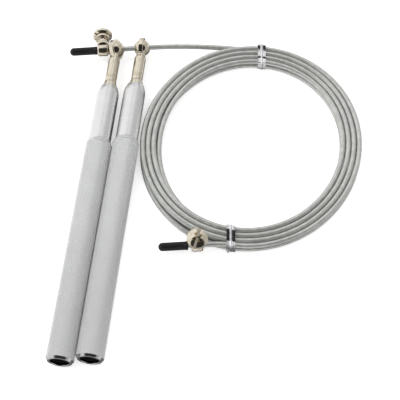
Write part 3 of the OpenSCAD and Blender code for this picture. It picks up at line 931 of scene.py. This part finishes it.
def build_cable():
    """The coil rides on the rope, the lead is drawn in two fixed pieces split midway between its two joints,
    and the end rides by the eyes.
    """
    line = cable_centre_line()
    lengths = np.concatenate([[0], np.cumsum(np.linalg.norm(np.diff(line, axis=0), axis=1))])
    lift = length_at(line, lengths, joint_point("lead_lift"))
    bend = length_at(line, lengths, joint_point("lead_bend"))
    middle = (lift + bend) / 2
    coil = cable_piece("cable_coiled", line, lengths, 0, lift - BEND_REACH)
    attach(coil, "rope")
    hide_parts("cable_coil")
    for name, first, last, bodies, hinge, node in (
            ("cable_lead_by_coil", lift - BEND_REACH, middle, ("rope", "lead"), lift, "cable_lead"),
            ("cable_lead_by_eyes", middle, bend + BEND_REACH, ("lead", "rope_end"), bend, "cable_lead")):
        piece = cable_piece(name, line, lengths, first, last)
        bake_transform(piece)
        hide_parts(node)
    end = cable_piece("cable_through_eyes", line, lengths, bend + BEND_REACH, float(lengths[-1]))
    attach(end, "rope_end")
    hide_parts("cable_end")


# ------------------------------------------------------------ the ties

def tie_loop(inside, outside, top):
    """The strip's centre line round the bundle, as (distance from the coil's centre, height)."""
    low = TIE_FILM + 0.14
    corners = [(inside, low, 1.5), (outside, low, 1.5)]
    corners += [(inside + across, height, 0.35) for across, height in reversed(top)]
    corners = rounded(corners, closed=True, steps=8)
    corners.append(corners[0])
    line = []
    for (x0, y0), (x1, y1) in zip(corners, corners[1:]):
        pieces = max(1, round(math.hypot(x1 - x0, y1 - y0) / 0.3))
        line += [(x0 + (x1 - x0) * k / pieces, y0 + (y1 - y0) * k / pieces) for k in range(pieces)]
    return line


def tie_section():
    """Outline across the strip: a thin film with a wire ridge along its middle, as (across, out)."""
    flat = [TIE_HALF_WIDTH - 0.06, 2.1, 1.7, 1.3, 0.95, 0.6]
    ridge = [(WIRE_R * math.cos(math.radians(a)) * 1.1, WIRE_R * math.sin(math.radians(a)) + 0.05)
             for a in (20, 50, 90, 130, 160)]
    outer = [(TIE_HALF_WIDTH, 0)] + [(x, TIE_FILM) for x in flat]
    outer += ridge + [(-x, TIE_FILM) for x in reversed(flat)]
    inner = [(-TIE_HALF_WIDTH, 0)] + [(-x, -TIE_FILM) for x in flat]
    inner += [(x, -TIE_FILM) for x in reversed(flat)]
    return outer + inner


def tie_strip(angle, upright, top):
    """Points and faces of the strip round the bundle at an angle, and the distance of its outer side.

    The strip is skewed so that it stands along the direction upright, and creased at random.
    """
    r_in = COIL_INNER_R + COIL_OVAL * math.cos(math.radians(2 * (angle - OVAL_ANGLE)))
    inside = r_in - CABLE_R - TIE_GAP
    outside = r_in + (LANES - 1) * STRAND_PITCH + CABLE_R + TIE_GAP
    line = tie_loop(inside, outside, top)
    section = tie_section()
    points = []
    total = len(line)
    for i, (x, y) in enumerate(line):
        before, after = Vector(line[i - 1]), Vector(line[(i + 1) % total])
        way = (after - before).normalized()
        out = Vector((way.y, -way.x))
        sag = DRAPE * math.sin(math.pi * (x - r_in) / STRAND_PITCH) ** 2 if y > CREST else 0
        for across, rise in section:
            # Creases of two sizes, and a slow drift to the sides
            fold = noise.noise(Vector((i * 0.21, across * 0.9, angle))) * CREASE
            fold += noise.noise(Vector((i * 0.07, across * 2.2, angle + 9))) * CREASE * 0.5
            drift = noise.noise(Vector((i * 0.05, 3.0, angle))) * 0.12
            spot = Vector((x, y)) + out * (rise + fold - sag)
            skew = (spot.x - (inside + outside) / 2) * math.tan(math.radians(angle - upright))
            points.append((spot.x, across + drift - skew, max(spot.y, 0.03)))
    return points, tube_faces(total, len(section), closed=True), outside


def tie_knot(outside):
    """The strip's two ends, twisted round each other into a short tail that points outwards."""
    length, turns, steps, count = 2.5, 1.6, 26, 20
    height = CREST / 2
    points = []
    for i in range(steps + 1):
        t = i / steps
        x = outside - 0.15 + length * t
        close = math.sqrt(max(0.0, 1 - max(0.0, (t - 0.82) / 0.19) ** 2))
        for k in range(count):
            a = TURN * k / count
            u, v = 0.9 * math.cos(a), 0.42 * math.sin(a) * (1 + 0.5 * math.cos(2 * a))
            twist = TURN * turns * t
            y = (u * math.cos(twist) - v * math.sin(twist)) * close
            z = (u * math.sin(twist) + v * math.cos(twist)) * close
            points.append((x, y, height + z))
    return points, tube_faces(steps + 1, count) + end_faces(steps + 1, count)


def build_tie(name, angle):
    """Strip and knot as one piece, placed on the coil at its angle."""
    points, faces, outside = tie_strip(angle, TIE_UPRIGHT[name], TIE_TOPS[name])
    more_points, more_faces = tie_knot(outside)
    offset = len(points)
    faces += [tuple(i + offset for i in face) for face in more_faces]
    piece = new_object(f"twist_{name}", points + more_points, faces)
    place = Matrix.Rotation(math.radians(angle), 4, "Z")
    place.translation = Vector((COIL_CENTRE[0], COIL_CENTRE[1], 0)) * MM
    finish_piece(piece, place, FOIL, "rope", [name], 40)


# ------------------------------------------------------------ parts kept from the CAD

def dress_inner_parts():
    """Materials for the parts inside the sleeves, which are shown as the CAD has them."""
    for name, node in frame["nodes"].items():
        if any(word in name for word in ("race", "balls", "snap_ring")):
            chosen = BEARING
        elif any(word in name for word in ("spacer", "washer", "nut")):
            chosen = TURNED
        else:
            continue
        node.data.materials.clear()
        node.data.materials.append(chosen)


# ------------------------------------------------------------ floor, light and camera

def floor_material(n):
    """Plain pale floor with a glow to the camera. Metal sees a painted shadow on it, on the right and
    straight below.
    """
    path = n.add("ShaderNodeLightPath")
    seen, glossy = path.outputs["Is Camera Ray"], path.outputs["Is Glossy Ray"]
    back = n.add("ShaderNodeSeparateXYZ", Vector=n.add("ShaderNodeNewGeometry").outputs["Incoming"])
    rightwards, _, upwards = back.outputs
    # Painted shadow, seen only in reflections: near black where a glossy ray reaches the floor going right
    # and steeply down, or straight down.
    shade = n.maths("MULTIPLY", n.between(upwards, 0.36, 0.56), n.between(rightwards, -0.3, -0.1, 1.0, 0.0))
    shade = n.maths("MAXIMUM", shade, n.between(upwards, 0.78, 0.88))
    shade = n.maths("MULTIPLY", n.maths("MULTIPLY", shade, glossy), 0.75)
    grain = n.noise(n.local(), 40, 3)
    pale = n.blend(grain, rgb(0.80, 0.80, 0.80), rgb(0.83, 0.83, 0.83))
    plain = n.add("ShaderNodeBsdfDiffuse", Color=n.blend(shade, pale, rgb(0.02, 0.02, 0.02)))
    glow = n.add("ShaderNodeEmission", Color=rgb(1, 1, 1), Strength=n.maths("MULTIPLY", seen, 0.5))
    return n.shaders_added(plain, glow)


def build_floor():
    radius, height = 1500, -0.02
    floor = new_object("floor", *lathe([(radius, height), (0, height)], sides=64))
    floor.data.materials.append(material("pale_floor", floor_material))


def build_world():
    """A white light tent that lights a little less from the right.

    Metal sees it dark round the photographer, along a seam in the far half, low at the far side and on the
    right.
    """
    world = bpy.data.worlds.new("tent")
    bpy.context.scene.world = world
    world.use_nodes = True
    n = Nodes(world.node_tree)
    way = n.add("ShaderNodeTexCoord").outputs["Generated"]
    path = n.add("ShaderNodeLightPath")
    glossy, diffuse = path.outputs["Is Glossy Ray"], path.outputs["Is Diffuse Ray"]
    split = n.add("ShaderNodeSeparateXYZ", Vector=way)
    side, depth, height = split.outputs
    to_photographer = (0.04, -0.601, 0.798)
    outer_edge, inner_edge = math.cos(math.radians(49)), math.cos(math.radians(45))
    photographer = n.between(n.dot(way, to_photographer), outer_edge, inner_edge)
    seam = n.maths("MULTIPLY", n.between(n.maths("ABSOLUTE", side), 0.02, 0.07, 1.0, 0.0),
                   n.between(depth, 0.0, 0.2))
    horizon = n.between(n.maths("ABSOLUTE", n.maths("SUBTRACT", height, 0.06)), 0.06, 0.11, 1.0, 0.0)
    horizon = n.maths("MULTIPLY", horizon, n.between(depth, 0.65, 0.85))
    right = n.between(side, 0.1, 0.8)
    dark = n.maths("MULTIPLY", photographer, 0.97)
    dark = n.maths("MAXIMUM", dark, n.maths("MULTIPLY", seam, 0.55))
    dark = n.maths("MAXIMUM", dark, n.maths("MULTIPLY", horizon, 0.95))
    dark = n.maths("MAXIMUM", dark, n.maths("MULTIPLY", right, 0.45))
    dim = n.maths("MULTIPLY", n.maths("MULTIPLY", right, 0.35), diffuse)
    tent = n.maths("SUBTRACT", 1.0, n.maths("ADD", n.maths("MULTIPLY", dark, glossy), dim))
    back = n.add("ShaderNodeBackground", Color=rgb(1.0, 1.0, 1.0),
                 Strength=n.maths("MULTIPLY", tent, 0.95))
    n.add("ShaderNodeOutputWorld", Surface=back.outputs[0])


def add_light(name, at, size, energy):
    """A soft round lamp that points at the origin and isn't mirrored in the metal."""
    lamp = bpy.data.lights.new(name, "AREA")
    lamp.shape = "DISK"
    lamp.size = size
    lamp.energy = energy
    light = bpy.data.objects.new(name, lamp)
    light.location = at
    light.rotation_euler = (-Vector(at)).to_track_quat("-Z", "Y").to_euler()
    light.visible_glossy = False
    bpy.context.scene.collection.objects.link(light)


def build_camera():
    lens = bpy.data.cameras.new("camera")
    lens.lens = CAMERA_LENS
    lens.sensor_width = 36
    lens.clip_start = 0.01
    lens.clip_end = 10
    camera = bpy.data.objects.new("camera", lens)
    tilt = math.radians(CAMERA_ELEVATION)
    back = Vector((0, -math.cos(tilt), math.sin(tilt)))
    camera.location = CAMERA_AIM + back * CAMERA_DISTANCE
    camera.rotation_mode = "QUATERNION"
    camera.rotation_quaternion = (-back).to_track_quat("-Z", "Y")
    bpy.context.scene.collection.objects.link(camera)
    bpy.context.scene.camera = camera


for handle_side in "lr":
    build_handle(handle_side)
for clamp_number in "12":
    build_clamp(clamp_number)
build_cable()
for tie_name, tie_angle in TIES.items():
    build_tie(tie_name, tie_angle)
dress_inner_parts()

build_floor()
build_world()
add_light("key", at=(-0.5, 0.25, 0.75), size=0.45, energy=3.0)
add_light("fill", at=(0.3, -0.5, 0.9), size=0.6, energy=1.0)
build_camera()
bpy.context.scene.view_settings.view_transform = "Standard"
